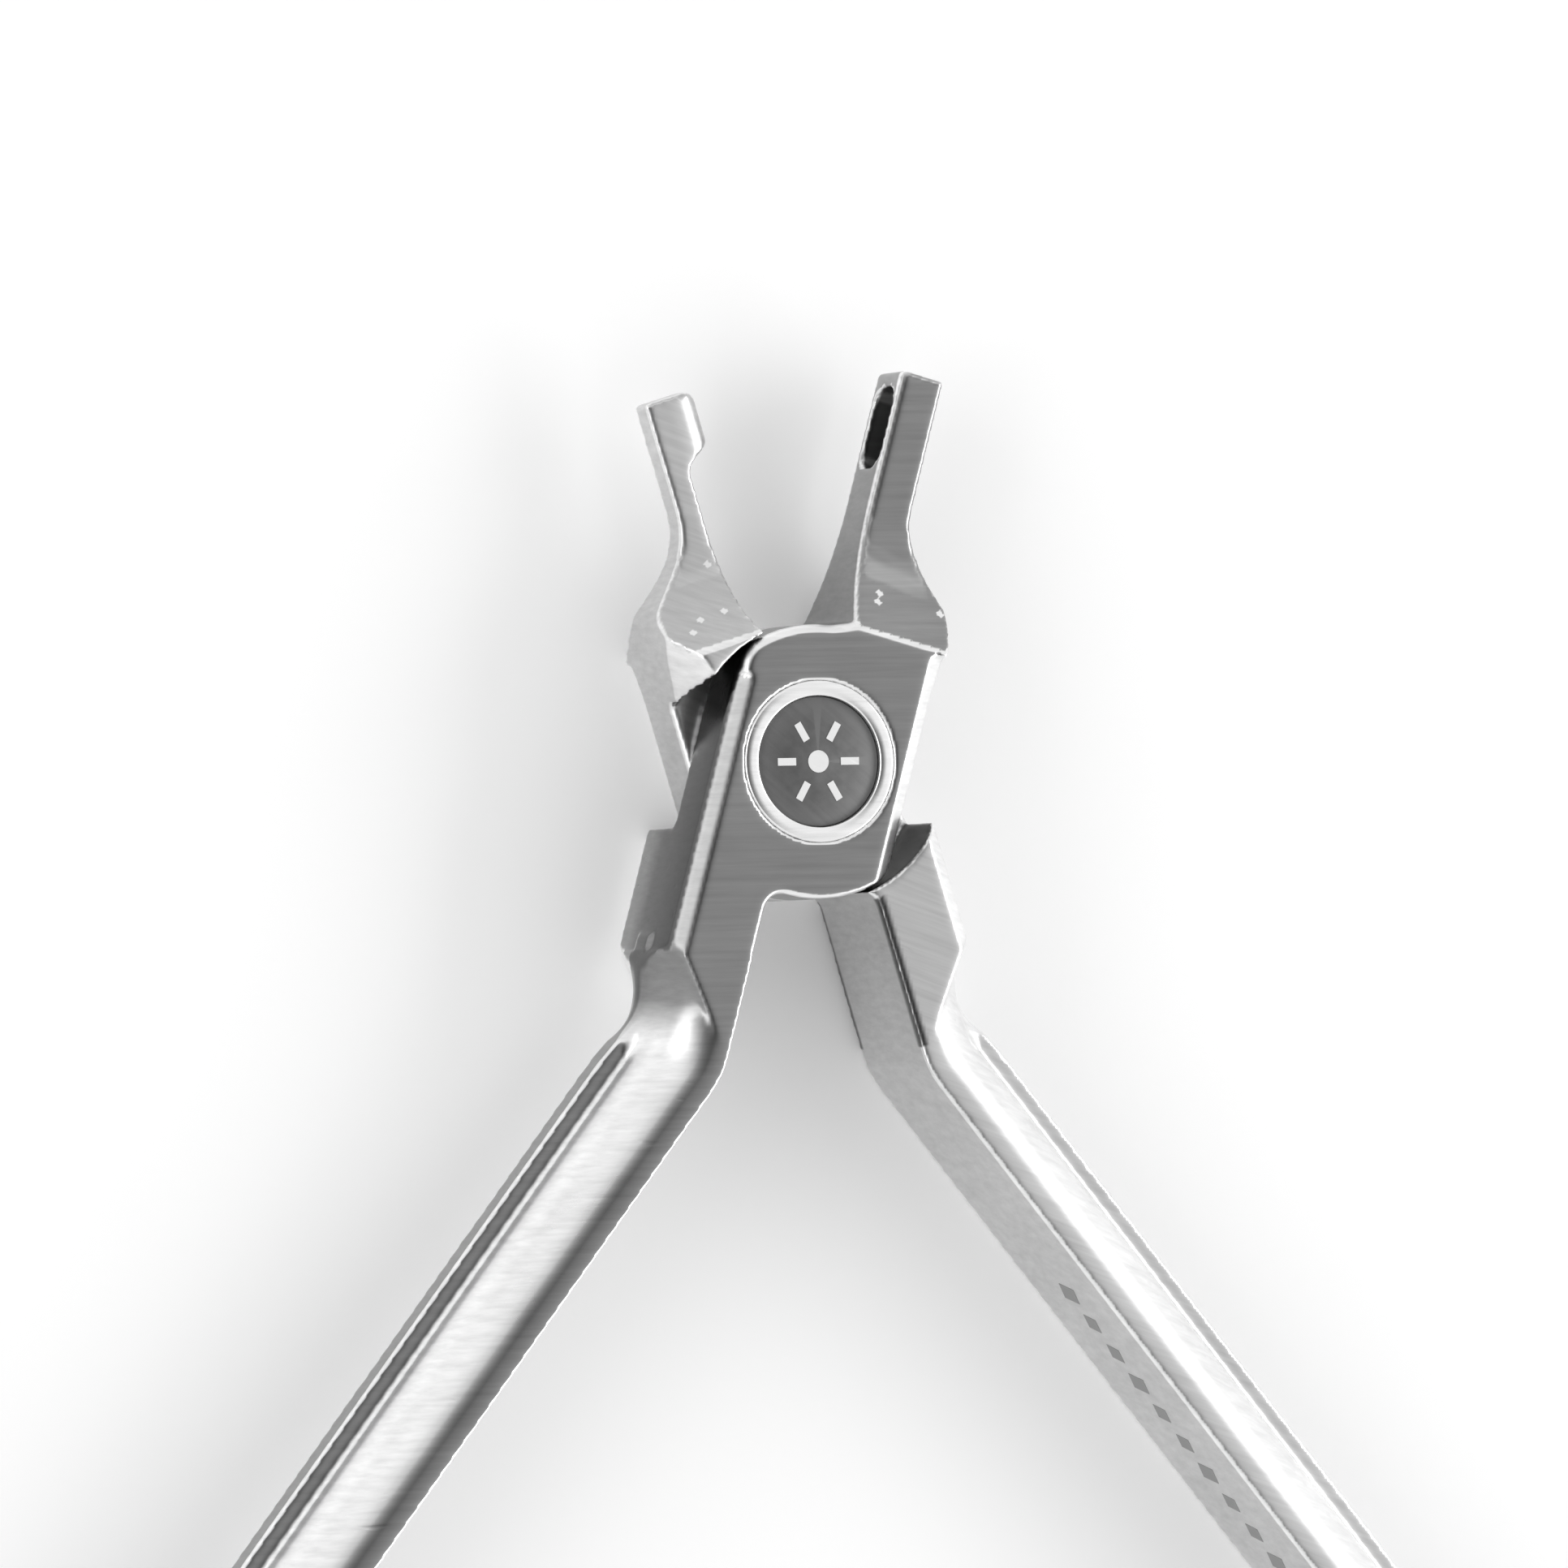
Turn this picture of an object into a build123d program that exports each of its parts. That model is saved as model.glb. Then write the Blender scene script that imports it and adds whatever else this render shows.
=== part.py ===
"""Crimping pliers with a lap joint.

Two forged arms cross at a pivot. Each arm is drawn in its own frame: the
pivot axis is Z, the plane where the two arms lap is z = 0, the jaw points
along +Y and the handle runs towards -Y. In that frame the front arm has its
jaw at +X and its handle at -X. The back arm is the same forging turned over
about Y, with a different jaw. At rest the pliers lie on their back face,
half open, with the jaws towards +Y.
"""
from build123d import *
import math
import os

# ---- overall sizes, mm
thickness = 8.8            # both arms, face to face
flank_half_width = 5.85    # half width of the joint between its side walls
jaw_reach = 22.9           # pivot axis to the end of the die jaw
neck_reach = 18.4          # pivot axis to the knee, where the handle turns out
handle_straight = 36.0     # straight stretch of the handle after the knee
handle_sweep_radius = 125.0
handle_lean = 22.5         # degrees from the long axis, after the knee
handle_toe_in = 4.0        # degrees past parallel, at the handle's end

# ---- lap joint
plate_radius = 7.65        # round ends of the half-thickness plate
shoulder_clearance = 0.15  # between a plate and the other arm's shoulder
lap_clearance = 0.03       # between the two laps, each side of the mid plane
flank_bevel_in = 0.85      # bevel along the joint's sides, measured inwards
flank_bevel_down = 0.70    # the same bevel, measured down from the face
neck_bevel_top = 3.6       # on the neck's side it runs out here
plate_edge = 0.42          # bevel round the plate's end beside the other jaw
low_edge = 0.16            # and round its other end
flank_bevel_end = 12.5     # and here, at a small ledge on the neck
ledge_step = 0.20          # the neck stands this far proud of the flank there
corner_rise = 0.50         # inner corner of the jaw, above the plate's round end
punch_rise_run = 0.48      # the punch arm's plate rises to that corner over this run
neck_inner = 1.06          # inner edge of the neck, from the long axis
facet_inner = 4.9          # corner facet beside the shoulder: where it starts
facet_run = 1.85           # how far past the plate's end it runs up the jaw's outer edge
facet_top_height = 3.1     # height above the lap plane there
plate_corner_radius = 1.8  # plate's corner beside the other arm's jaw
neck_corner_radius = 1.1   # inner corner between plate and neck

# ---- pivot
bush_diameter = 9.0
bush_wall = 0.85           # rim seen around the screw's head
bush_journal_wall = 1.5    # thicker wall below the head
running_clearance = 0.03   # radial, journal in bush
head_height = 1.3
head_recess = 0.25         # the head sits this far below the front face
cap_height = 0.45
cap_plug = 0.8             # plug under the cap, in the screw's socket
plug_clearance = 0.02
shank_diameter = 4.6       # threaded end, in the back arm
driver_across = 2.6        # hexagon socket under the cap
driver_depth = 1.6

# ---- jaws
die_face = 0.30            # working face of the die jaw, from the long axis
die_tip_height = 3.70      # height of the die jaw at its tip
die_width = 2.60           # from working face to outer edge, at the tip
slot_length = 4.70
punch_slot_room = 0.35     # room between punch and slot, on each side across the jaw
slot_depth = 1.55
slot_tip_margin = 0.90     # from the end of the slot to the end of the jaw
slot_corner_radius = 1.0
die_middle_height = 2.75   # half height of the die jaw, partway down its slope
punch_face = 0.35          # face of the punch pad, on its own side
punch_stem_face = 1.10     # inner edge of the stem behind the pad
punch_tip_height = 1.80
punch_tip_width = 2.20
punch_middle_height = 1.75 # half height of the punch jaw, partway down its slope
punch_crown = 1.00         # how far the punch stands proud of its pad
punch_slot_side = 0.40     # room between punch and slot, along the jaw
punch_lead_in = 0.95       # slope from the stem up to the pad
punch_full = 0.9           # the punch is at its full height this far from its start
punch_nose = 0.3           # and starts to round off this far from its end
punch_top_drop = 0.10      # how far it has dropped there
punch_nose_drop = 0.42     # and how far at its end
die_edge = 0.22            # bevel along the inner edge of the die jaw
jaw_root_width = 6.10      # outer edge of the jaw where it flares, from axis
jaw_root = 2.65            # the jaw's outline starts this far inside the plate's end
ramp_gap = 0.05            # the jaws slope from here past the plate's end, and the bevel stops before
slot_ramp_gap = 1.8        # the slope ends this far before the slot
flare_rise = 2.45          # the outer edge turns down to the joint this far past the plate's end
flare_corner = 0.30        # size of the turn there
flare_share = 0.53         # how far along the flare its middle point is
flare_middle_out = 0.85    # how far out it is there
slope_share = 0.372        # how far along the slope the middle heights are measured

# ---- handles
handle_depth = 4.25        # inner face to the foot of the dome
handle_flat = 0.55         # narrow flat beside the inner face, on top
rib_reach = 5.30           # inner face to the edge of the outer rib
rib_height = 1.80
waist_width = 4.45         # inner face to the rib, at the waist
waist_reach = 15.2         # pivot axis to the waist
knee_radius = 5.6
ramp_crest = (4.9, 12.8)   # neck's front face ends along a line from here
ramp_foot = (1.7, 16.8)    # to here, both from the pivot, outwards and down
ramp_run = 1.63            # how far the ramp below it leans out, down to mid plane
handle_end_radius = 6.5

# ---- travel, degrees
rest_half_opening = 16.3  # each arm, from the position with flanks parallel

half = thickness / 2
neck_straight_end = neck_reach - knee_radius * math.tan(math.radians(handle_lean / 2))
shoulder_radius = plate_radius + shoulder_clearance
slot_end = jaw_reach - slot_tip_margin
slot_start = slot_end - slot_length
punch_start = slot_start + punch_slot_side
punch_reach = slot_end - punch_slot_side
slot_width = punch_tip_height + 2 * punch_slot_room
flank_bevel_top = plate_radius - ramp_gap
ramp_start = plate_radius + ramp_gap
ramp_end = slot_start - slot_ramp_gap
flare_end = plate_radius + flare_rise
punch_rise = punch_stem_face - punch_face + punch_crown


def prism(face, low, high):
    """A plan-view face as a solid between two heights."""
    return extrude(Pos(0, 0, low) * face, high - low)


def across(face, reach=12.0):
    """A face drawn as (y, z) pushed both ways along X."""
    upright = Plane(origin=(0, 0, 0), x_dir=(0, 1, 0), z_dir=(1, 0, 0))
    return extrude(upright * face, reach, both=True)


def arc_point(radius, x, sign):
    return (x, sign * math.sqrt(radius**2 - x**2))


def joint_outline(root_face, rise_from):
    """Plate, root of the jaw and neck in plan.

    The plate's round end rises from rise_from to the jaw's inner corner at root_face.
    """
    side = flank_half_width
    top_left = arc_point(plate_radius, -side, 1)
    top_end = arc_point(plate_radius, rise_from, 1)
    jaw_corner = (root_face, plate_radius + corner_rise)
    low_left = arc_point(plate_radius, -neck_inner, -1)
    low_right = arc_point(plate_radius, side, -1)
    neck_side = -side - ledge_step
    edges = [
        ThreePointArc(top_left, arc_point(plate_radius, -3.0, 1), top_end),
        Line(top_end, jaw_corner),
        Line(jaw_corner, (side, jaw_corner[1])),
        Line((side, jaw_corner[1]), low_right),
        ThreePointArc(low_right, arc_point(plate_radius, 3.0, -1), low_left),
        Line(low_left, (-neck_inner, -neck_straight_end)),
        Line((-neck_inner, -neck_straight_end), (neck_side, -waist_reach)),
        Line((neck_side, -waist_reach), (neck_side, -flank_bevel_end)),
        Line((neck_side, -flank_bevel_end), (-side, -flank_bevel_end)),
        Line((-side, -flank_bevel_end), top_left),
    ]
    outline = make_face(edges)
    plate_corners = [
        v for v in outline.vertices()
        if (v.center() - Vector(*top_left)).length < 0.01
        or (v.center() - Vector(*low_right)).length < 0.01
    ]
    outline = fillet(plate_corners, plate_corner_radius)
    neck_corner = [v for v in outline.vertices() if (v.center() - Vector(*low_left)).length < 0.01]
    return fillet(neck_corner, neck_corner_radius)


def jaw_outline(face_x, tip_x, reach):
    """Jaw in plan: straight at the tip, flaring out to the joint."""
    corner = (jaw_root_width - flare_corner, flare_end + flare_corner)
    middle = ramp_end - flare_share * (ramp_end - corner[1])
    root_y = plate_radius - jaw_root
    flare = Spline(
        (tip_x, ramp_end),
        (tip_x + flare_middle_out, middle),
        corner,
        tangents=[(0, -1), (0.72, -0.7)],
    )
    root = Spline(
        corner,
        (jaw_root_width, flare_end - 0.7),
        (flank_half_width, root_y),
        tangents=[(0.6, -0.8), (-0.04, -1)],
    )
    edges = [
        Line((face_x, root_y), (face_x, reach)),
        Line((face_x, reach), (tip_x, reach)),
        Line((tip_x, reach), (tip_x, ramp_end)),
        flare,
        root,
        Line((flank_half_width, root_y), (face_x, root_y)),
    ]
    return make_face(edges)


def arm_side(tip_height, reach, middle):
    """Arm seen from the side: full height at the joint, thin at the jaw's tip.

    middle is the slope's height above the mid plane, partway along it.
    """
    tip = tip_height / 2
    back_end = -(neck_reach + knee_radius)
    half_way = (ramp_start + slope_share * (ramp_end - ramp_start), middle)
    fall = (half - middle) / (half_way[0] - ramp_start)
    slope = 1.25 * fall
    upper = Spline((ramp_start, half), half_way, (ramp_end, tip), tangents=[(1, -slope), (1, 0)])
    lower = mirror(upper, Plane.XZ)
    edges = [
        Line((back_end, half), (ramp_start, half)),
        upper,
        Line((ramp_end, tip), (reach, tip)),
        Line((reach, tip), (reach, -tip)),
        Line((reach, -tip), (ramp_end, -tip)),
        lower,
        Line((ramp_start, -half), (back_end, -half)),
        Line((back_end, -half), (back_end, half)),
    ]
    return make_face(edges)


def lap_recess():
    """Room for the other arm's plate, on the back half of this arm."""
    disc = Cylinder(shoulder_radius, half + 1, align=(Align.CENTER, Align.CENTER, Align.MAX))
    return Pos(0, 0, lap_clearance) * disc


def flank_bevels():
    """Wedges cut from the joint's long edges: two in front, one behind the neck."""
    side = flank_half_width
    wedge = Polygon(
        (side - flank_bevel_in, half),
        (side + 1, half - flank_bevel_down * (1 + flank_bevel_in) / flank_bevel_in),
        (side + 1, half + 1),
        (side - flank_bevel_in, half + 1),
        align=None,
    )
    run = Plane(origin=(0, -flank_bevel_end, 0), x_dir=(1, 0, 0), z_dir=(0, -1, 0))
    length = flank_bevel_end + flank_bevel_top
    bar = extrude(run * wedge, -length)
    neck_length = flank_bevel_end + neck_bevel_top
    neck_bar = mirror(extrude(run * wedge, -neck_length), Plane.YZ)
    back_bar = mirror(mirror(bar, Plane.YZ), Plane.XY)
    return [bar, neck_bar, back_bar]


def corner_facet():
    """Cuts the outer corner of the jaw root, beside the shoulder."""
    outer = jaw_root_width + 0.1
    low = Vector(outer, math.sqrt(shoulder_radius**2 - flank_half_width**2) - 0.1, 0)
    inner = Vector(facet_inner, plate_radius - 0.35, -half)
    upper = Vector(outer, plate_radius + facet_run, -facet_top_height)
    normal = (inner - low).cross(upper - low).normalized()
    if normal.Z > 0:
        normal = normal * -1
    side = Plane(origin=low, z_dir=normal)
    block = extrude(side * Rectangle(4 * half, 4 * half), 2 * half)
    below = Box(60, 60, 20, align=(Align.CENTER, Align.CENTER, Align.MAX))
    return block & below


def handle_path():
    """Line of the handle's inner edge in plan, from the neck to its end."""
    first = Line((-neck_inner, -flank_bevel_end + 1.0), (-neck_inner, -neck_straight_end))
    knee = JernArc(start=first @ 1, tangent=first % 1, radius=knee_radius, arc_size=-handle_lean)
    straight = PolarLine(knee @ 1, handle_straight, direction=knee % 1)
    sweep_arc = JernArc(
        start=straight @ 1,
        tangent=straight % 1,
        radius=handle_sweep_radius,
        arc_size=handle_lean + handle_toe_in,
    )
    return [first, knee, straight, sweep_arc]


def dome_section(start):
    """Handle's section: flat inner face, narrow flats and a domed back."""
    depth = handle_depth - handle_flat
    frame = Plane(origin=start, x_dir=(-1, 0, 0), z_dir=(0, -1, 0))
    dome = Pos(handle_flat, 0) * Ellipse(depth, half)
    dome &= Pos(handle_flat, 0) * Rectangle(20, 20, align=(Align.MIN, Align.CENTER))
    flat = Rectangle(handle_flat, thickness, align=(Align.MIN, Align.CENTER))
    return frame * (dome + flat)


def handle_outline(path):
    """Handle in plan: the inner edge, the waist and the outer rib."""
    first, knee, straight, sweep_arc = path
    outward = Vector(-1, 0)
    straight_normal = outward.rotate(Axis.Z, -handle_lean)
    end_normal = outward.rotate(Axis.Z, handle_toe_in)
    waist = Vector(-neck_inner - waist_width, -waist_reach)
    after_knee = straight @ 0 + (straight % 0) * 2.5 + straight_normal * rib_reach
    rib_turn = straight @ 1 + straight_normal * rib_reach
    rib_end = sweep_arc @ 1 + end_normal * rib_reach
    half_turn = (handle_lean - handle_toe_in) / 2
    rib_middle = sweep_arc @ 0.5 + outward.rotate(Axis.Z, -half_turn) * rib_reach
    ledge = Vector(-flank_half_width - ledge_step, -flank_bevel_end)
    waist_curve = Spline(ledge, waist, after_knee, tangents=[(0.1, -1), straight % 0])
    edges = [
        first,
        knee,
        straight,
        sweep_arc,
        Line(sweep_arc @ 1, rib_end),
        ThreePointArc(rib_end, rib_middle, rib_turn),
        Line(rib_turn, after_knee),
        waist_curve,
        Line(ledge, (ledge.X, (first @ 0).Y)),
        Line((ledge.X, (first @ 0).Y), first @ 0),
    ]
    return make_face(edges)


def rounded_end(path):
    """What is cut away so that the handle ends in a shallow dome."""
    end = path[-1]
    onward = end % 1
    middle = end @ 1 + Vector(-1, 0).rotate(Axis.Z, handle_toe_in) * (rib_reach / 2)
    centre = middle - onward * handle_end_radius
    frame = Plane(origin=centre, x_dir=(1, 0, 0), z_dir=onward)
    beyond = extrude(frame * Rectangle(4 * handle_end_radius, 4 * handle_end_radius), 2 * handle_end_radius)
    return beyond - Pos(centre) * Sphere(handle_end_radius)


def neck_ramps():
    """What is cut off the end of the neck, in front and behind, down to the mid plane."""
    crest = Vector(-ramp_crest[0], -ramp_crest[1], half)
    foot = Vector(-ramp_foot[0], -ramp_foot[1], half)
    along = (foot - crest).normalized()
    outward = Vector(along.Y, -along.X)
    fall = (outward * ramp_run - Vector(0, 0, half)).normalized()
    face = Plane(origin=crest, x_dir=along, z_dir=along.cross(fall))
    if face.z_dir.dot(outward) < 0:
        face = Plane(origin=crest, x_dir=along, z_dir=fall.cross(along))
    cut = extrude(face * Rectangle(40, 40), 10)
    front = cut & Box(80, 80, half + 1, align=(Align.CENTER, Align.CENTER, Align.MIN))
    return [front, mirror(front, Plane.XY)]


def handle():
    path = handle_path()
    outline = handle_outline(path)
    line = Wire(path)
    dome = sweep(dome_section(path[0] @ 0), line)
    rib = prism(outline, -rib_height / 2, rib_height / 2)
    return dome + rib - rounded_end(path)


def joint_block(outline):
    """Plate and neck at full height, with the plate's rounded ends bevelled in front."""
    block = prism(outline, -half, half)
    for sign, size in ((1, plate_edge), (-1, low_edge)):
        edges = []
        for edge in block.edges():
            middle = edge @ 0.5
            rising = plate_radius < middle.Y < plate_radius + corner_rise * 0.9
            rounded = edge.geom_type == GeomType.CIRCLE or rising
            if rounded and middle.Z > half - 0.01 and middle.Y * sign > 0:
                edges.append(edge)
        block = chamfer(edges, size)
    return block


def die_edges(jaw):
    """Long edges of the die jaw's working face, front and back."""
    found = []
    for edge in jaw.edges():
        middle = edge @ 0.5
        if abs(middle.X - die_face) < 0.01 and middle.Y > plate_radius and abs(middle.Z) > 0.01:
            found.append(edge)
    return found


def blank(joint, jaw, side):
    """One arm without its working faces, before the pivot bore."""
    body = (joint_block(joint) & across(side)) + jaw
    for wedge in flank_bevels() + neck_ramps():
        body -= wedge
    body += handle()
    body -= lap_recess()
    body -= corner_facet()
    return body


def die_blank():
    tip_x = die_face + die_width
    joint = joint_outline(die_face, -punch_stem_face)
    side = arm_side(die_tip_height, jaw_reach, die_middle_height)
    outline = jaw_outline(die_face, tip_x, jaw_reach)
    jaw = prism(outline, -half, half) & across(side)
    jaw = chamfer(die_edges(jaw), die_edge)
    body = blank(joint, jaw, side)
    middle = (slot_start + slot_end) / 2
    mouth = Plane(origin=(die_face, middle, 0), x_dir=(0, 1, 0), z_dir=(1, 0, 0))
    pocket = extrude(mouth * RectangleRounded(slot_length, slot_width, slot_corner_radius), slot_depth)
    return body - pocket


def punch_plan():
    """Pad and crown of the punch jaw in plan: one smooth bulge on the stem."""
    face = punch_stem_face
    crown = face - punch_rise
    start = (face, punch_start - punch_lead_in)
    full = (crown, punch_start + punch_full)
    top = (crown + punch_top_drop, punch_reach - punch_nose)
    end = (crown + punch_nose_drop, punch_reach)
    edges = [
        Spline(start, full, top, end, tangents=[(0.1, 1), (0.6, 1)]),
        Line(end, (face + 0.5, punch_reach)),
        Line((face + 0.5, punch_reach), (face + 0.5, start[1])),
        Line((face + 0.5, start[1]), start),
    ]
    return make_face(edges)


def punch_blank():
    tip_x = punch_face + punch_tip_width
    joint = joint_outline(punch_stem_face, punch_stem_face - punch_rise_run)
    side = arm_side(punch_tip_height, punch_reach, punch_middle_height)
    outline = jaw_outline(punch_stem_face, tip_x, punch_reach)
    jaw = prism(outline, -half, half) & across(side)
    body = blank(joint, jaw, side)
    rounded = Plane(origin=(punch_stem_face, punch_start - 1.5, 0), x_dir=(1, 0, 0), z_dir=(0, 1, 0))
    nose = extrude(rounded * Ellipse(punch_rise + 0.02, punch_tip_height / 2), slot_length + 3)
    return body + (nose & prism(punch_plan(), -half, half))


def front_arm():
    body = die_blank()
    return body - Cylinder(bush_diameter / 2, 4 * thickness)


def back_arm():
    body = punch_blank()
    body -= Cylinder(shank_diameter / 2, 4 * thickness)
    return Rot(0, 180, 0) * body


def pivot_bush():
    """Hardened ring pressed into the front arm: its rim shows."""
    low = lap_clearance
    upward = (Align.CENTER, Align.CENTER, Align.MIN)
    outer = Pos(0, 0, low) * Cylinder(bush_diameter / 2, half - low, align=upward)
    journal = bush_diameter / 2 - bush_journal_wall
    counterbore = bush_diameter / 2 - bush_wall
    seat = half - head_recess - head_height
    outer -= Cylinder(journal, 4 * thickness)
    outer -= Pos(0, 0, seat) * Cylinder(counterbore, thickness, align=upward)
    return outer


def pivot_screw():
    """Screw fixed in the back arm: the front arm's bush turns on it."""
    journal = bush_diameter / 2 - bush_journal_wall - running_clearance
    head = bush_diameter / 2 - bush_wall - running_clearance
    seat = half - head_recess - head_height
    upward = (Align.CENTER, Align.CENTER, Align.MIN)
    shank = Pos(0, 0, -half) * Cylinder(shank_diameter / 2, half, align=upward)
    spindle = Pos(0, 0, -lap_clearance) * Cylinder(journal, seat + 2 * lap_clearance, align=upward)
    cap_seat = head_height - cap_height - lap_clearance
    flange = Pos(0, 0, seat + lap_clearance) * Cylinder(head, cap_seat, align=upward)
    screw = shank + spindle + flange
    socket = Pos(0, 0, half - head_recess - cap_height - driver_depth)
    return screw - socket * extrude(RegularPolygon(driver_across / 2, 6, major_radius=False), thickness)


def pivot_cap():
    """Thin disc over the screw's socket, held by a short plug."""
    radius = bush_diameter / 2 - bush_wall - running_clearance
    upward = (Align.CENTER, Align.CENTER, Align.MIN)
    disc = Pos(0, 0, half - head_recess - cap_height) * Cylinder(radius, cap_height, align=upward)
    plug = Pos(0, 0, half - head_recess - cap_height - cap_plug)
    return disc + plug * Cylinder(driver_across / 2 - plug_clearance, cap_plug, align=upward)


os.makedirs("parts", exist_ok=True)
lie_down = Pos(0, 0, half)
open_front = Rot(0, 0, -rest_half_opening)
open_back = Rot(0, 0, rest_half_opening)
pieces = {
    "front_arm": lie_down * open_front * front_arm(),
    "pivot_bush": lie_down * open_front * pivot_bush(),
    "back_arm": lie_down * open_back * back_arm(),
    "pivot_screw": lie_down * open_back * pivot_screw(),
    "pivot_cap": lie_down * open_back * pivot_cap(),
}
for name, piece in pieces.items():
    export_step(piece, f"parts/{name}.step")
    print(name, round(piece.volume, 1), piece.is_valid, len(piece.solids()), piece.bounding_box())
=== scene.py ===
import bpy
import math
import bmesh
import numpy as np
from mathutils import Matrix, Vector
from mathutils.bvhtree import BVHTree


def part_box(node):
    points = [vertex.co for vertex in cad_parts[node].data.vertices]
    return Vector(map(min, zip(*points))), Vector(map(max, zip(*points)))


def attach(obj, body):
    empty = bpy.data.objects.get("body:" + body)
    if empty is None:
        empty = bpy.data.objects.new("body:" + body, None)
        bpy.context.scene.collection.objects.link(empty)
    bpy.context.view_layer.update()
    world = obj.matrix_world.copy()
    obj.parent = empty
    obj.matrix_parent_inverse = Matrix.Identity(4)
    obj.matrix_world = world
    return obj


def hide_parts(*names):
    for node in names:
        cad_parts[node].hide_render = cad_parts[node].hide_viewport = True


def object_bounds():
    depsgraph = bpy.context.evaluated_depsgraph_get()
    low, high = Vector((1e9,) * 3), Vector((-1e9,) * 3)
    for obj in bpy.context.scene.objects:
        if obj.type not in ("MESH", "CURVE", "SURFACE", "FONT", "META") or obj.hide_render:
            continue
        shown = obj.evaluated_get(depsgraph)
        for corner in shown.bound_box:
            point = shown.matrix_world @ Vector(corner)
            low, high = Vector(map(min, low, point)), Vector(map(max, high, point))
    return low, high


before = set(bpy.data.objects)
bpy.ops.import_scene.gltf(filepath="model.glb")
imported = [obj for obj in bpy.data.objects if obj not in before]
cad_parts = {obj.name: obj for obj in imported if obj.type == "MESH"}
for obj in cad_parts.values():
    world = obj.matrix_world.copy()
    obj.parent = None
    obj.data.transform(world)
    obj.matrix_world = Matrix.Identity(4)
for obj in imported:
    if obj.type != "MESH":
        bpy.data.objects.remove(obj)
cad_low, cad_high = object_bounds()

# ---- camera
# The pliers are looked down on from above, from a little to their left.
pivot = Vector((0.0, 0.0, (cad_low[2] + cad_high[2]) / 2))
from_left = math.radians(23.11)
from_below = math.radians(1.75)
twist = math.radians(-1.485)
distance = 0.8917
back = Vector((
    -math.sin(from_left) * math.cos(from_below),
    -math.sin(from_below),
    math.cos(from_left) * math.cos(from_below),
))
right = Vector((0, 1, 0)).cross(back).normalized()
up = back.cross(right)
aim = right * -0.000277 + up * -0.001139
turn = Matrix.Rotation(twist, 3, "Z")
axes = Matrix((turn @ right, turn @ up, turn @ back)).transposed().to_4x4()
camera_data = bpy.data.cameras.new("bench_camera")
camera_data.sensor_width = 36.0
camera_data.lens = 367.1
camera_data.clip_start = 0.05
camera_data.clip_end = 20.0
camera = bpy.data.objects.new("bench_camera", camera_data)
bpy.context.scene.collection.objects.link(camera)
camera.matrix_world = Matrix.Translation(pivot + turn @ (aim + back * distance)) @ axes
bpy.context.scene.camera = camera

# ---- studio
# Pale paper under the pliers in a white room. One dark patch of the room, to the
# left of overhead, draws the dark band along the polished handles.
bpy.ops.mesh.primitive_plane_add(size=3.0, location=(0, 0, cad_low[2] - 0.0001))
floor = bpy.context.object
floor.name = "paper_floor"
paper = bpy.data.materials.new("white_paper")
paper.use_nodes = True
nodes = paper.node_tree.nodes
paper_shader = nodes["Principled BSDF"]
paper_shader.inputs["Roughness"].default_value = 0.9
paper_shader.inputs["Specular IOR Level"].default_value = 0.1
paper_shader.inputs["Emission Color"].default_value = (1, 1, 1, 1)
paper_shader.inputs["Emission Strength"].default_value = 0.10
fibre = nodes.new("ShaderNodeTexNoise")
fibre.inputs["Scale"].default_value = 90.0
tone = nodes.new("ShaderNodeMapRange")
tone.inputs["To Min"].default_value = 0.93
tone.inputs["To Max"].default_value = 0.96
paper.node_tree.links.new(fibre.outputs["Fac"], tone.inputs["Value"])
paper.node_tree.links.new(tone.outputs["Result"], paper_shader.inputs["Base Color"])
floor.data.materials.append(paper)

dark_patch_way = (-0.208, 0.0, 0.978)
dark_patch_edge, dark_patch_core = math.radians(35), math.radians(12)
world = bpy.data.worlds.new("studio_room")
bpy.context.scene.world = world
world.use_nodes = True
tree = world.node_tree
sky = tree.nodes["Background"]
place = tree.nodes.new("ShaderNodeTexCoord")
toward = tree.nodes.new("ShaderNodeVectorMath")
toward.operation = "DOT_PRODUCT"
toward.inputs[1].default_value = dark_patch_way
shade = tree.nodes.new("ShaderNodeMapRange")
shade.interpolation_type = "SMOOTHSTEP"
shade.inputs["From Min"].default_value = math.cos(dark_patch_edge)
shade.inputs["From Max"].default_value = math.cos(dark_patch_core)
shade.inputs["To Min"].default_value = 0.98
shade.inputs["To Max"].default_value = 0.10
tree.links.new(place.outputs["Generated"], toward.inputs[0])
tree.links.new(toward.outputs["Value"], shade.inputs["Value"])
tree.links.new(shade.outputs["Result"], sky.inputs["Color"])
sky.inputs["Strength"].default_value = 0.9
bpy.context.scene.view_settings.view_transform = "Standard"


def soft_box(name, place, size, power):
    light = bpy.data.lights.new(name, "AREA")
    light.shape = "RECTANGLE"
    light.size, light.size_y = size
    light.energy = power
    box = bpy.data.objects.new(name, light)
    bpy.context.scene.collection.objects.link(box)
    box.location = place
    box.rotation_euler = (-Vector(place)).to_track_quat("-Z", "Y").to_euler()


soft_box("left_box", (-0.75, 0.05, 0.42), (0.9, 0.3), 1.6)
soft_box("right_box", (0.75, -0.10, 0.42), (0.9, 0.3), 3.0)

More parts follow.
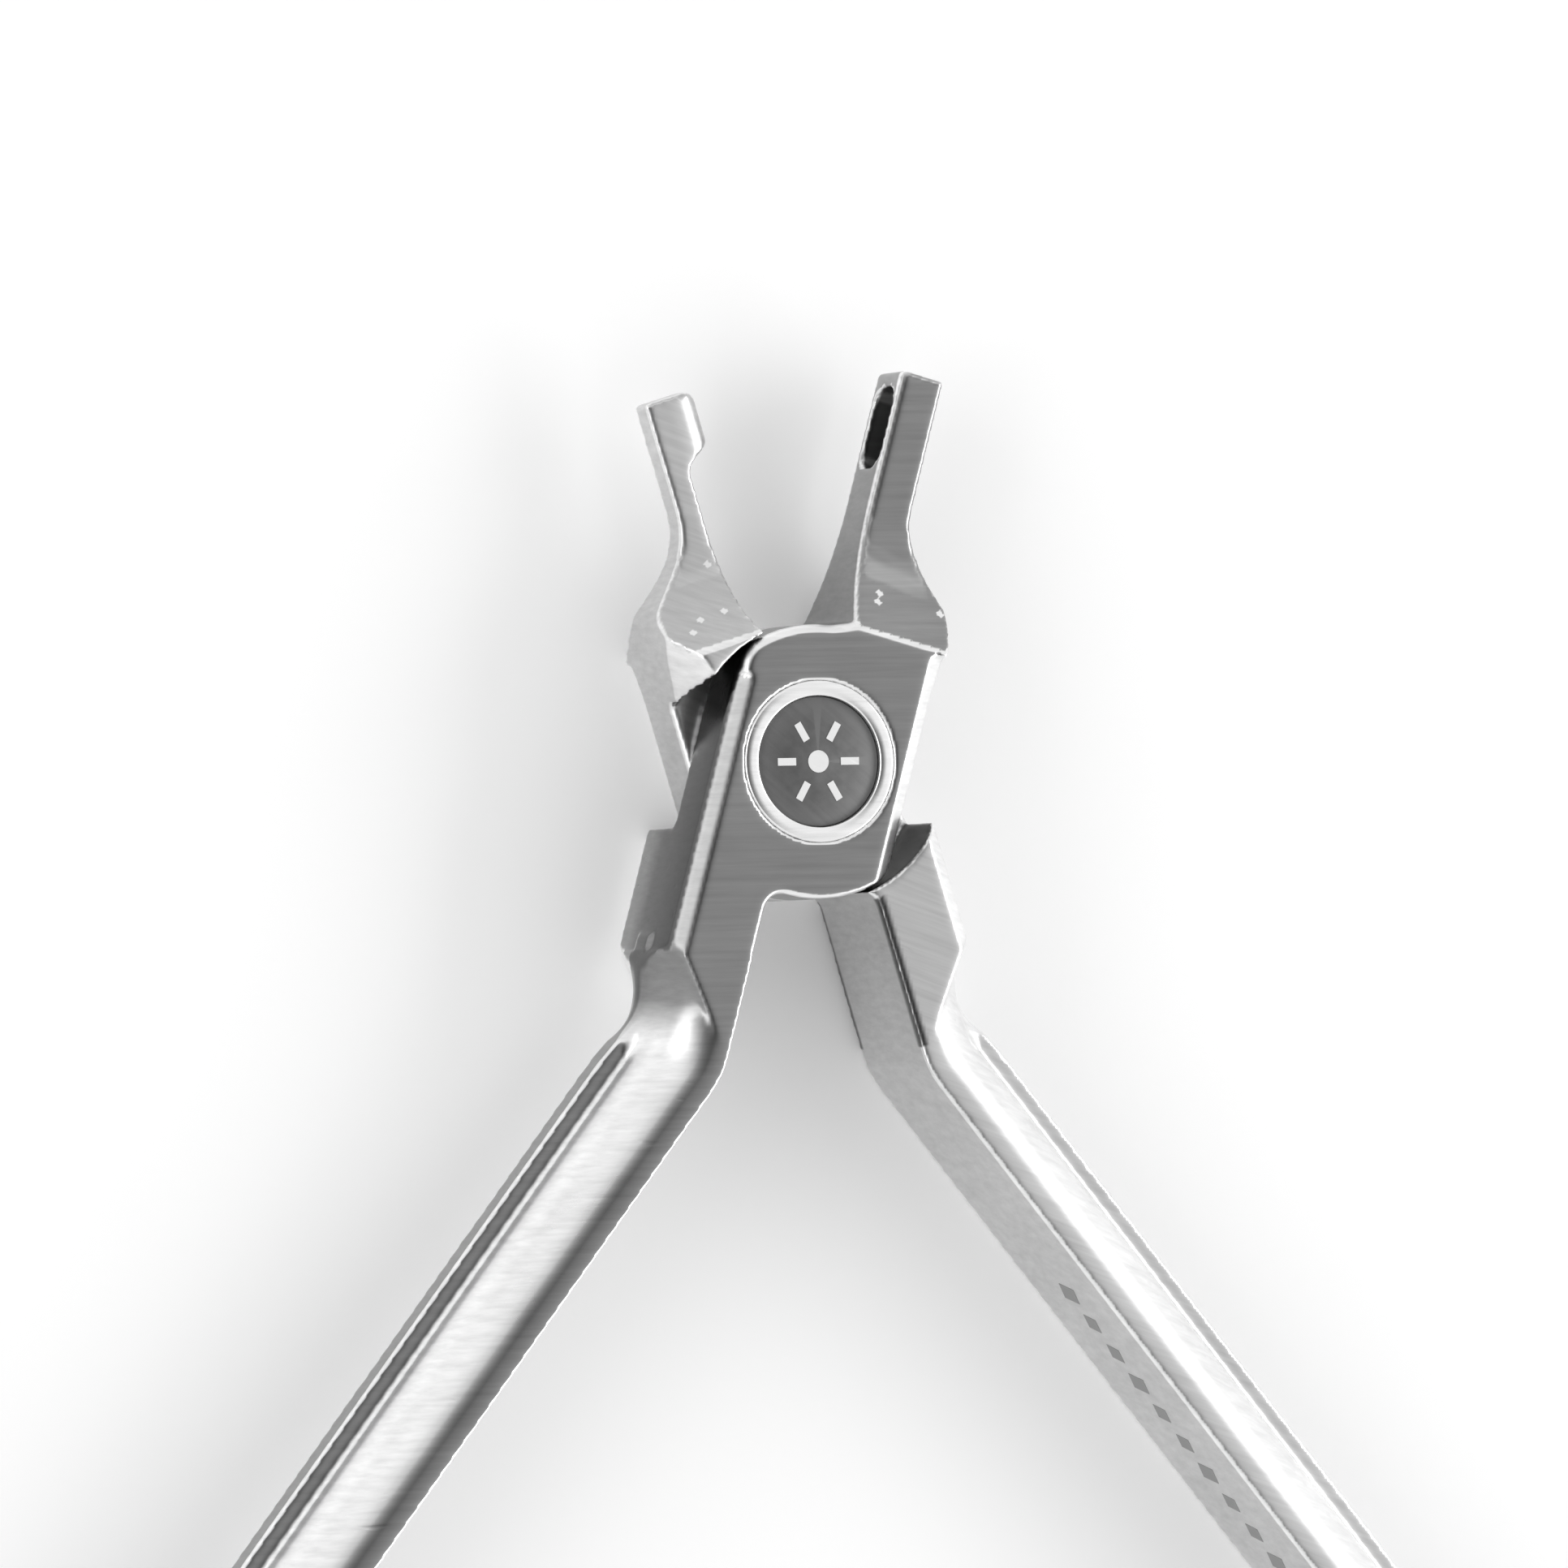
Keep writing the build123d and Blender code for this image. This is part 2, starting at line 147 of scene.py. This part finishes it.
# ---- front arm
# The forging that lies in front: drop-forged tool steel, its faces ground
# flat across and its edges broken by hand. Its jaw holds the die slot.
arm_voxel = 0.000175
arm_opening = 16.3
arm_middle = (cad_low[2] + cad_high[2]) / 2
arm_half = arm_middle * 1000
shoulder_wall = 7.8    # these are in mm, in the arm's own frame, as in_arm gives them
jaw_foot = 8.0
slot_low, slot_high = 17.0, 22.3
bevel_inner = 4.7
ledge = 12.4
neck_edge = 1.06


def mesh_copy(node):
    """The CAD node's shape as one welded mesh."""
    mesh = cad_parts[node].data.copy()
    work = bmesh.new()
    work.from_mesh(mesh)
    bmesh.ops.remove_doubles(work, verts=work.verts, dist=1e-7)
    work.to_mesh(mesh)
    work.free()
    mesh.materials.clear()
    return mesh


def forged_copy(node, name, rounds):
    """Evenly meshed copy of an arm with its sharp edges broken."""
    piece = bpy.data.objects.new(name, mesh_copy(node))
    bpy.context.scene.collection.objects.link(piece)
    skin = piece.modifiers.new("skin", "REMESH")
    skin.mode = "VOXEL"
    skin.voxel_size = arm_voxel
    skin.use_smooth_shade = True
    ease = piece.modifiers.new("ease", "SMOOTH")
    ease.factor = 0.5
    ease.iterations = rounds
    view = bpy.context.evaluated_depsgraph_get()
    finished = bpy.data.meshes.new_from_object(piece.evaluated_get(view))
    piece.modifiers.clear()
    piece.data = finished
    piece.data.name = name
    return piece


def read_points(mesh):
    flat = np.empty(len(mesh.vertices) * 3)
    mesh.vertices.foreach_get("co", flat)
    return flat.reshape(-1, 3)


def in_arm(points, side):
    """Points in an arm's own frame, in mm: jaw along +Y, pivot at the origin, and the
    handle at -X. side is 1 for the front arm and -1 for the back arm."""
    angle = math.radians(arm_opening) * side
    cos, sin = math.cos(angle), math.sin(angle)
    x = (points[:, 0] * cos - points[:, 1] * sin) * 1000
    y = (points[:, 0] * sin + points[:, 1] * cos) * 1000
    z = (points[:, 2] - arm_middle) * 1000
    return x * side, y, z * side


def near_line(x, y, corners, reach):
    """1 on a line through the corners, seen in plan, falling to 0 at reach."""
    away = np.full(len(x), 1e9)
    for (x0, y0), (x1, y1) in zip(corners, corners[1:]):
        run = np.array((x1 - x0, y1 - y0))
        share = ((x - x0) * run[0] + (y - y0) * run[1]) / run.dot(run)
        share = np.clip(share, 0, 1)
        away = np.minimum(away, np.hypot(x - x0 - share * run[0], y - y0 - share * run[1]))
    return np.clip(1.4 * (1 - away / reach), 0, 1)


def blend_over(mesh, weight, rounds):
    """Smooths a mesh where weight is above 0, as a hand file blends a corner."""
    points = read_points(mesh)
    pairs = np.empty(len(mesh.edges) * 2, dtype=int)
    mesh.edges.foreach_get("vertices", pairs)
    pairs = pairs.reshape(-1, 2)
    touched = (weight[pairs[:, 0]] > 0) | (weight[pairs[:, 1]] > 0)
    pairs = pairs[touched]
    ends = np.concatenate((pairs[:, 0], pairs[:, 1]))
    others = np.concatenate((pairs[:, 1], pairs[:, 0]))
    count = np.maximum(np.bincount(ends, minlength=len(points)), 1)
    for _ in range(rounds):
        for axis in range(3):
            mean = np.bincount(ends, points[others, axis], minlength=len(points)) / count
            points[:, axis] += 0.6 * weight * np.where(count > 1, mean - points[:, axis], 0)
    mesh.vertices.foreach_set("co", points.ravel())
    mesh.update()


def keep_inside(mesh, node):
    """Holds every point of a mesh inside the CAD node's box."""
    low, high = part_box(node)
    points = np.clip(read_points(mesh), low, high)
    mesh.vertices.foreach_set("co", points.ravel())
    mesh.update()


def blend_neck(mesh, side):
    """Runs the end of the neck into the handle's dome."""
    x, y, z = in_arm(read_points(mesh), side)
    weight = near_line(x, y, ((-5.6, -13.6), (-4.2, -15.6), (-2.2, -18.2)), 3.0)
    weight *= np.clip((arm_half - np.abs(z) - 0.25) / 0.9, 0, 1)
    weight *= np.clip((-2.1 - x) / 0.8, 0, 1)
    weight *= np.clip((-12.9 - y) / 0.5, 0, 1)
    blend_over(mesh, weight, 90)


def paint_shade_and_reflection(mesh, side, jaw_shade, flank, neck):
    """Paints shade and reflection into the steel's colour: how far each place is toned down from bright
    steel, from 0 to 1. It paints shade on the shoulder, a shadow in the slot and shade on the slope of the
    jaw, and as much dark reflection on the flank, its bevel and the neck as is asked.
    It stands in for what those walls reflect in a workshop and for the shade that falls in them."""
    x, y, z = in_arm(read_points(mesh), side)
    facing = np.empty(len(mesh.vertices) * 3)
    mesh.vertices.foreach_get("normal", facing)
    facing = facing.reshape(-1, 3)
    out_x, out_y, _ = in_arm(facing + (0, 0, arm_middle), side)
    out_x, out_y = out_x / 1000, out_y / 1000
    upright = np.abs(facing[:, 2])
    radius = np.hypot(x, y)
    inward = -(out_x * x + out_y * y) / np.maximum(radius, 1e-6)
    shoulder = (np.abs(radius - shoulder_wall) < 0.3) & (inward > 0.6) & (z < 0.4)
    slot = (x > 0.42) & (x < 2.4) & (np.abs(z) < 1.4) & (y > slot_low) & (y < slot_high) & (side > 0)
    tilted = 1 - np.clip((upright - 0.93) / 0.055, 0, 1)
    slope = jaw_shade * tilted * np.clip((upright - 0.45) / 0.2, 0, 1) * (y > jaw_foot)
    shade = np.maximum(slope, 0.85 * shoulder)
    shade = np.where(slot, 0.62, shade)
    on_flank = (x < -bevel_inner) * (y > -ledge)
    wall = np.clip((-out_x - 0.55) / 0.3, 0, 1) * on_flank * (y < 7.2)
    depth = np.clip((z + 2.6) / 1.6, 0, 1) * (0.62 + 0.38 * np.clip((z + 1.0) / 4.0, 0, 1))
    shade = np.maximum(shade, 0.9 * wall * depth * flank)
    strip = tilted * (z > 3.5) * on_flank * (y < 3.4) * (upright > 0.4)
    shade = np.maximum(shade, 0.7 * strip * flank)
    below = np.clip((y + 17.4) / 2.4, 0, 1) * (y < -12.35) * tilted * (x < -1.4) * (z > -1.2)
    shade = np.maximum(shade, 0.75 * below * flank)
    edge = np.clip((0.48 - np.abs(x + neck_edge)) / 0.2, 0, 1) * (y < -8.3) * (y > -17.0)
    edge *= np.clip((np.abs(z) - arm_half + 0.6) / 0.2, 0, 1)
    shade = np.maximum(shade, 0.85 * edge * neck)
    layer = mesh.attributes.new("painted_shade_and_reflection", "FLOAT", "POINT")
    layer.data.foreach_set("value", shade)


def group_with(name, inputs, outputs):
    """An empty shader group with the given number inputs and outputs."""
    group = bpy.data.node_groups.new(name, "ShaderNodeTree")
    for label, kind, value in inputs:
        socket = group.interface.new_socket(label, in_out="INPUT", socket_type=kind)
        if value is not None:
            socket.default_value = value
    for label, kind in outputs:
        group.interface.new_socket(label, in_out="OUTPUT", socket_type=kind)
    return group, group.nodes.new("NodeGroupInput"), group.nodes.new("NodeGroupOutput")


def math_node(group, operation, first, second=None, clamp=False):
    node = group.nodes.new("ShaderNodeMath")
    node.operation = operation
    node.use_clamp = clamp
    for slot, value in enumerate((first, second)):
        if isinstance(value, (int, float)):
            node.inputs[slot].default_value = value
        elif value is not None:
            group.links.new(value, node.inputs[slot])
    return node.outputs[0]


def noise_node(group, vector, scale, detail, roughness=0.5):
    node = group.nodes.new("ShaderNodeTexNoise")
    node.inputs["Scale"].default_value = scale
    node.inputs["Detail"].default_value = detail
    node.inputs["Roughness"].default_value = roughness
    group.links.new(vector, node.inputs["Vector"])
    return node.outputs["Fac"]


def scratch_group():
    """Fine lines from the grinding belt, a few deeper scratches and nicks."""
    group, entry, leave = group_with(
        "belt_scratches",
        (("Along", "NodeSocketFloat", 0.0), ("Depth", "NodeSocketFloat", 1.0)),
        (("Height", "NodeSocketFloat"), ("Streak", "NodeSocketFloat"), ("Cloud", "NodeSocketFloat")),
    )
    place = group.nodes.new("ShaderNodeTexCoord")
    turned = group.nodes.new("ShaderNodeVectorRotate")
    turned.rotation_type = "Z_AXIS"
    group.links.new(place.outputs["Object"], turned.inputs["Vector"])
    group.links.new(entry.outputs["Along"], turned.inputs["Angle"])
    drawn = group.nodes.new("ShaderNodeMapping")
    drawn.inputs["Scale"].default_value = (120.0, 3200.0, 900.0)
    group.links.new(turned.outputs[0], drawn.inputs["Vector"])
    fine = noise_node(group, drawn.outputs[0], 1.0, 4.0, 0.6)
    dents = group.nodes.new("ShaderNodeMapping")
    dents.inputs["Scale"].default_value = (420.0, 1700.0, 900.0)
    group.links.new(turned.outputs[0], dents.inputs["Vector"])
    nick = noise_node(group, dents.outputs[0], 1.0, 1.0, 0.4)
    deep = math_node(group, "MULTIPLY", math_node(group, "SUBTRACT", nick, 0.70, True), 6.0, True)
    cloud = noise_node(group, place.outputs["Object"], 160.0, 3.0, 0.55)
    height = math_node(group, "SUBTRACT", math_node(group, "MULTIPLY", fine, 0.35), deep)
    height = math_node(group, "MULTIPLY", height, entry.outputs["Depth"])
    group.links.new(height, leave.inputs["Height"])
    group.links.new(fine, leave.inputs["Streak"])
    group.links.new(cloud, leave.inputs["Cloud"])
    return group


def edge_sheen_and_hollow_shade_group():
    """Where the metal is rubbed bright along convex edges, partly wear and partly a painted highlight,
    broken up a little; and where it is hollow, for painted shade.
    """
    group, entry, leave = group_with(
        "rubbed_edges",
        (("Start", "NodeSocketFloat", 0.54), ("Width", "NodeSocketFloat", 0.05)),
        (("WornEdgeSheen", "NodeSocketFloat"), ("HollowShade", "NodeSocketFloat")),
    )
    shape = group.nodes.new("ShaderNodeNewGeometry")
    place = group.nodes.new("ShaderNodeTexCoord")
    broken = noise_node(group, place.outputs["Object"], 1500.0, 2.0)
    lift = math_node(group, "MULTIPLY", math_node(group, "SUBTRACT", broken, 0.5), 0.05)
    point = math_node(group, "ADD", shape.outputs["Pointiness"], lift)
    above = math_node(group, "SUBTRACT", point, entry.outputs["Start"])
    edge = math_node(group, "DIVIDE", above, entry.outputs["Width"], True)
    below = math_node(group, "SUBTRACT", 0.47, shape.outputs["Pointiness"])
    hollow = math_node(group, "DIVIDE", below, 0.05, True)
    group.links.new(edge, leave.inputs["WornEdgeSheen"])
    group.links.new(hollow, leave.inputs["HollowShade"])
    return group


scratches = scratch_group()
rubbed = edge_sheen_and_hollow_shade_group()


def smooth_mask(tree, value, low, high):
    """0 below low and 1 above high, with a soft change between."""
    node = tree.nodes.new("ShaderNodeMapRange")
    node.interpolation_type = "SMOOTHSTEP"
    node.inputs["From Min"].default_value = low
    node.inputs["From Max"].default_value = high
    tree.links.new(value, node.inputs["Value"])
    return node.outputs["Result"]


def blend_number(tree, mask, base, other):
    """base where the mask is 0 and other where it is 1."""
    node = tree.nodes.new("ShaderNodeMix")
    node.data_type = "FLOAT"
    tree.links.new(mask, node.inputs["Factor"])
    for socket, value in ((node.inputs["A"], base), (node.inputs["B"], other)):
        if isinstance(value, (int, float)):
            socket.default_value = value
        else:
            tree.links.new(value, socket)
    return node.outputs["Result"]


def steel(name, face, dome, wall, shine, lines, dark=0.05):
    """Tool steel: greys of flat faces, rounded parts and walls, roughness, line direction. The grey by
    facing is painted reflection, the attribute's dark places and the darkened hollows are painted shade
    and reflection, and the brightened edges are partly wear and partly painted highlight.
    """
    material = bpy.data.materials.new(name)
    material.use_nodes = True
    tree = material.node_tree
    shader = tree.nodes["Principled BSDF"]
    shader.inputs["Metallic"].default_value = 1.0
    marks = tree.nodes.new("ShaderNodeGroup")
    marks.node_tree = scratches
    marks.inputs["Along"].default_value = lines
    sheen_and_shade_marks = tree.nodes.new("ShaderNodeGroup")
    sheen_and_shade_marks.node_tree = rubbed
    place = tree.nodes.new("ShaderNodeTexCoord")
    parts = tree.nodes.new("ShaderNodeSeparateXYZ")
    tree.links.new(place.outputs["Normal"], parts.inputs[0])
    upright = math_node(tree, "ABSOLUTE", parts.outputs["Z"])
    # Which way the surface faces sets its grey: painted reflection and shade, standing in for how bright
    # the room looks from flat faces, rounded parts and walls.
    flat = smooth_mask(tree, upright, 0.93, 0.985)
    round_off = smooth_mask(tree, upright, 0.06, 0.2)
    grey = blend_number(tree, round_off, wall, dome)
    grey = blend_number(tree, flat, grey, face)
    # Pulls the grey towards dark where the mesh carries painted shade and painted reflection.
    painted_shade_mask = tree.nodes.new("ShaderNodeAttribute")
    painted_shade_mask.attribute_name = "painted_shade_and_reflection"
    grey = blend_number(tree, painted_shade_mask.outputs["Fac"], grey, dark)
    drift = math_node(tree, "MULTIPLY", math_node(tree, "SUBTRACT", marks.outputs["Cloud"], 0.5), 0.22)
    streak = math_node(tree, "MULTIPLY", math_node(tree, "SUBTRACT", marks.outputs["Streak"], 0.5), 0.45)
    change = math_node(tree, "ADD", math_node(tree, "ADD", drift, streak), 1.0)
    grey = math_node(tree, "MULTIPLY", grey, change)
    # Convex edges are brightened, partly wear and partly a painted highlight; hollows are darkened as
    # painted shade.
    grey = blend_number(tree, sheen_and_shade_marks.outputs["WornEdgeSheen"], grey, dome)
    hollow_shade_amount = math_node(tree, "MULTIPLY", sheen_and_shade_marks.outputs["HollowShade"], 0.7)
    grey = blend_number(tree, hollow_shade_amount, grey, dark)
    mixed = tree.nodes.new("ShaderNodeCombineColor")
    for channel in ("Red", "Green", "Blue"):
        tree.links.new(grey, mixed.inputs[channel])
    tree.links.new(mixed.outputs[0], shader.inputs["Base Color"])
    rough = math_node(tree, "ADD", shine, math_node(tree, "MULTIPLY", marks.outputs["Cloud"], 0.10))
    tree.links.new(rough, shader.inputs["Roughness"])
    bump = tree.nodes.new("ShaderNodeBump")
    bump.inputs["Distance"].default_value = 0.00002
    bump.inputs["Strength"].default_value = 0.45
    tree.links.new(marks.outputs["Height"], bump.inputs["Height"])
    tree.links.new(bump.outputs["Normal"], shader.inputs["Normal"])
    return material


# The front arm's steel is painted darker than the back arm's: painted shade standing in for the light its
# brushed faces miss.
front_satin_painted_darker = steel("front_satin_steel_painted_darker", 0.27, 0.92, 0.36, 0.24, 0.0)
front_piece = forged_copy("front_arm", "front_forging", 6)
blend_neck(front_piece.data, 1)
keep_inside(front_piece.data, "front_arm")
# Painted shade on the shoulder, slot and jaw slope, and painted dark reflection on the flank, its bevel
# and below the ledge.
paint_shade_and_reflection(front_piece.data, 1, 0.70, 1.0, 0.0)
front_piece.data.materials.append(front_satin_painted_darker)
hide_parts("front_arm")
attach(front_piece, "front_half")

# ---- back arm
# The other forging of the pair, turned over, with the rounded punch on its
# jaw. Its steel is painted a shade brighter than the front arm's, a painted highlight standing in for the
# light its differently brushed faces catch.
back_satin_painted_brighter = steel("back_satin_steel_painted_brighter", 0.56, 0.88, 0.64, 0.26, 0.35)
back_piece = forged_copy("back_arm", "back_forging", 6)
blend_neck(back_piece.data, -1)
keep_inside(back_piece.data, "back_arm")
# Painted shade on the shoulder and jaw slope, and a painted dark strip along the neck edge.
paint_shade_and_reflection(back_piece.data, -1, 0.42, 0.0, 1.0)
back_piece.data.materials.append(back_satin_painted_brighter)
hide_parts("back_arm")
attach(back_piece, "back_half")


# ---- pivot ring
# Hardened ring pressed into the front arm and polished flush with its face;
# the screw's head turns inside it.
def turned(name, outline, segments=128):
    """A lathe-turned piece about the pivot: outline is (radius, height) points."""
    work = bmesh.new()
    corners = [work.verts.new((radius, 0.0, height)) for radius, height in outline]
    edges = [work.edges.new(pair) for pair in zip(corners, corners[1:])]
    bmesh.ops.spin(
        work, geom=corners + edges, cent=(0, 0, 0), axis=(0, 0, 1),
        angle=math.tau, steps=segments, use_duplicate=False,
    )
    bmesh.ops.remove_doubles(work, verts=work.verts, dist=1e-7)
    bmesh.ops.dissolve_degenerate(work, edges=work.edges, dist=1e-8)
    bmesh.ops.recalc_face_normals(work, faces=work.faces)
    mesh = bpy.data.meshes.new(name)
    work.to_mesh(mesh)
    work.free()
    for face in mesh.polygons:
        face.use_smooth = True
    piece = bpy.data.objects.new(name, mesh)
    bpy.context.scene.collection.objects.link(piece)
    return piece


ring_low, ring_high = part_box("pivot_bush")
cap_low, cap_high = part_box("pivot_cap")
ring_radius = (ring_high[0] - ring_low[0]) / 2
ring_top = ring_high[2]
cap_radius = (cap_high[0] - cap_low[0]) / 2
ring_bore = cap_radius + 0.00003
rim_ease = 0.00012
ring_outline = [(ring_bore, ring_low[2]), (ring_radius, ring_low[2])]
rim_turn = rim_ease * 0.3
ring_outline += [(ring_radius, ring_top - rim_ease), (ring_radius - rim_turn, ring_top - rim_turn)]
ring_outline += [(ring_radius - rim_ease, ring_top), (ring_bore + rim_ease, ring_top)]
ring_outline += [(ring_bore + rim_ease * 0.3, ring_top - rim_ease * 0.3), (ring_bore, ring_top - rim_ease)]
ring_outline += [(ring_bore, ring_low[2])]
ring = turned("pivot_ring", ring_outline)
polished = steel("polished_ring_steel", 0.97, 0.97, 0.90, 0.14, 0.0)
ring.data.materials.append(polished)
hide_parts("pivot_bush")
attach(ring, "front_half")

# ---- pivot screw
# Turned steel screw fixed in the back arm; only its flush end shows, behind.
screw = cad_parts["pivot_screw"]
screw_steel = steel("turned_screw_steel", 0.50, 0.80, 0.45, 0.30, 1.2)
screw.data.materials.clear()
screw.data.materials.append(screw_steel)

# ---- pivot cap
# Thin matt disc over the screw's socket. It carries a plain bright mark: a
# ring of short rays about a dot.
cap_top = cap_high[2]
cap_edge = 0.00008
cap_outline = [(0.0, cap_low[2] + 0.0008), (cap_radius, cap_low[2] + 0.0008)]
cap_outline += [(cap_radius, cap_top - cap_edge), (cap_radius - cap_edge, cap_top), (0.0, cap_top)]
cap = turned("cap_disc", cap_outline)
matt_grey = steel("matt_grey_cap", 0.14, 0.22, 0.12, 0.60, 0.7)
cap.data.materials.append(matt_grey)
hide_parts("pivot_cap")
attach(cap, "back_half")

mark_tree = bpy.data.node_groups.new("ring_of_rays", "GeometryNodeTree")
for label, value in (("Radius", 0.0019), ("Length", 0.0011), ("Width", 0.00042), ("Height", 0.00006)):
    entry = mark_tree.interface.new_socket(label, in_out="INPUT", socket_type="NodeSocketFloat")
    entry.default_value = value
count = mark_tree.interface.new_socket("Rays", in_out="INPUT", socket_type="NodeSocketInt")
count.default_value = 6
finish = mark_tree.interface.new_socket("Finish", in_out="INPUT", socket_type="NodeSocketMaterial")
mark_tree.interface.new_socket("Geometry", in_out="OUTPUT", socket_type="NodeSocketGeometry")
given = mark_tree.nodes.new("NodeGroupInput")
result = mark_tree.nodes.new("NodeGroupOutput")
circle = mark_tree.nodes.new("GeometryNodeMeshCircle")
mark_tree.links.new(given.outputs["Rays"], circle.inputs["Vertices"])
mark_tree.links.new(given.outputs["Radius"], circle.inputs["Radius"])
size = mark_tree.nodes.new("ShaderNodeCombineXYZ")
for label, axis in (("Length", "X"), ("Width", "Y"), ("Height", "Z")):
    mark_tree.links.new(given.outputs[label], size.inputs[axis])
ray = mark_tree.nodes.new("GeometryNodeMeshCube")
mark_tree.links.new(size.outputs[0], ray.inputs["Size"])
spread = mark_tree.nodes.new("GeometryNodeInstanceOnPoints")
outward = mark_tree.nodes.new("FunctionNodeAlignEulerToVector")
spot = mark_tree.nodes.new("GeometryNodeInputPosition")
mark_tree.links.new(spot.outputs[0], outward.inputs["Vector"])
mark_tree.links.new(circle.outputs["Mesh"], spread.inputs["Points"])
mark_tree.links.new(ray.outputs["Mesh"], spread.inputs["Instance"])
mark_tree.links.new(outward.outputs[0], spread.inputs["Rotation"])
dot = mark_tree.nodes.new("GeometryNodeMeshCylinder")
dot.inputs["Vertices"].default_value = 48
dot.inputs["Radius"].default_value = 0.00062
mark_tree.links.new(given.outputs["Height"], dot.inputs["Depth"])
joined = mark_tree.nodes.new("GeometryNodeJoinGeometry")
real = mark_tree.nodes.new("GeometryNodeRealizeInstances")
painted = mark_tree.nodes.new("GeometryNodeSetMaterial")
mark_tree.links.new(spread.outputs[0], joined.inputs[0])
mark_tree.links.new(dot.outputs["Mesh"], joined.inputs[0])
mark_tree.links.new(joined.outputs[0], real.inputs[0])
mark_tree.links.new(real.outputs[0], painted.inputs["Geometry"])
mark_tree.links.new(given.outputs["Finish"], painted.inputs["Material"])
mark_tree.links.new(painted.outputs[0], result.inputs[0])
bright_mark = steel("bright_mark_steel", 0.95, 0.98, 0.90, 0.30, 0.4)


def grown(name, tree, values):
    """The plain mesh that a geometry tree makes."""
    piece = bpy.data.objects.new(name, bpy.data.meshes.new(name))
    bpy.context.scene.collection.objects.link(piece)
    maker = piece.modifiers.new("maker", "NODES")
    maker.node_group = tree
    for item in tree.interface.items_tree:
        if item.in_out == "INPUT" and item.name in values:
            maker[item.identifier] = values[item.name]
    view = bpy.context.evaluated_depsgraph_get()
    mesh = bpy.data.meshes.new_from_object(piece.evaluated_get(view))
    piece.modifiers.clear()
    piece.data = mesh
    return piece


mark = grown("cap_mark", mark_tree, {"Finish": bright_mark})
mark.data.transform(Matrix.Translation((0.0, 0.0, cap_top)))
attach(mark, "back_half")

# ---- etched dashes
# A row of plain lozenges etched along the inner wall of the back arm's
# handle, dark against the steel.
middle = (cad_low[2] + cad_high[2]) / 2
back_tree = BVHTree.FromPolygons(
    [vertex.co for vertex in back_piece.data.vertices],
    [face.vertices for face in back_piece.data.polygons],
)
dash_start, dash_step, dash_count = -0.0300, 0.00172, 15
dashes = bmesh.new()
for number in range(dash_count):
    height = dash_start - dash_step * number
    hit, facing, _, _ = back_tree.ray_cast(Vector((0.0, height, middle)), Vector((1, 0, 0)))
    along = Vector((0, 0, 1)).cross(facing).normalized()
    long, tall = (0.00070, 0.00075) if number % 3 else (0.00078, 0.00095)
    corners = [
        hit + facing * 0.000012 + along * (long * side) + Vector((0, 0, tall * rise))
        for side, rise in ((-1, -0.35), (0.35, -1), (1, 0.35), (-0.35, 1))
    ]
    outer = [dashes.verts.new(corner) for corner in corners]
    inner = [dashes.verts.new(corner - facing * 0.00008) for corner in corners]
    dashes.faces.new(outer)
    dashes.faces.new(list(reversed(inner)))
    for index in range(4):
        following = (index + 1) % 4
        dashes.faces.new((outer[index], inner[index], inner[following], outer[following]))
bmesh.ops.recalc_face_normals(dashes, faces=dashes.faces)
dash_mesh = bpy.data.meshes.new("etched_dashes")
dashes.to_mesh(dash_mesh)
dashes.free()
etched = bpy.data.objects.new("etched_dashes", dash_mesh)
bpy.context.scene.collection.objects.link(etched)
etched_grey = steel("etched_dark_steel", 0.34, 0.34, 0.34, 0.45, 0.2)
etched.data.materials.append(etched_grey)
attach(etched, "back_half")
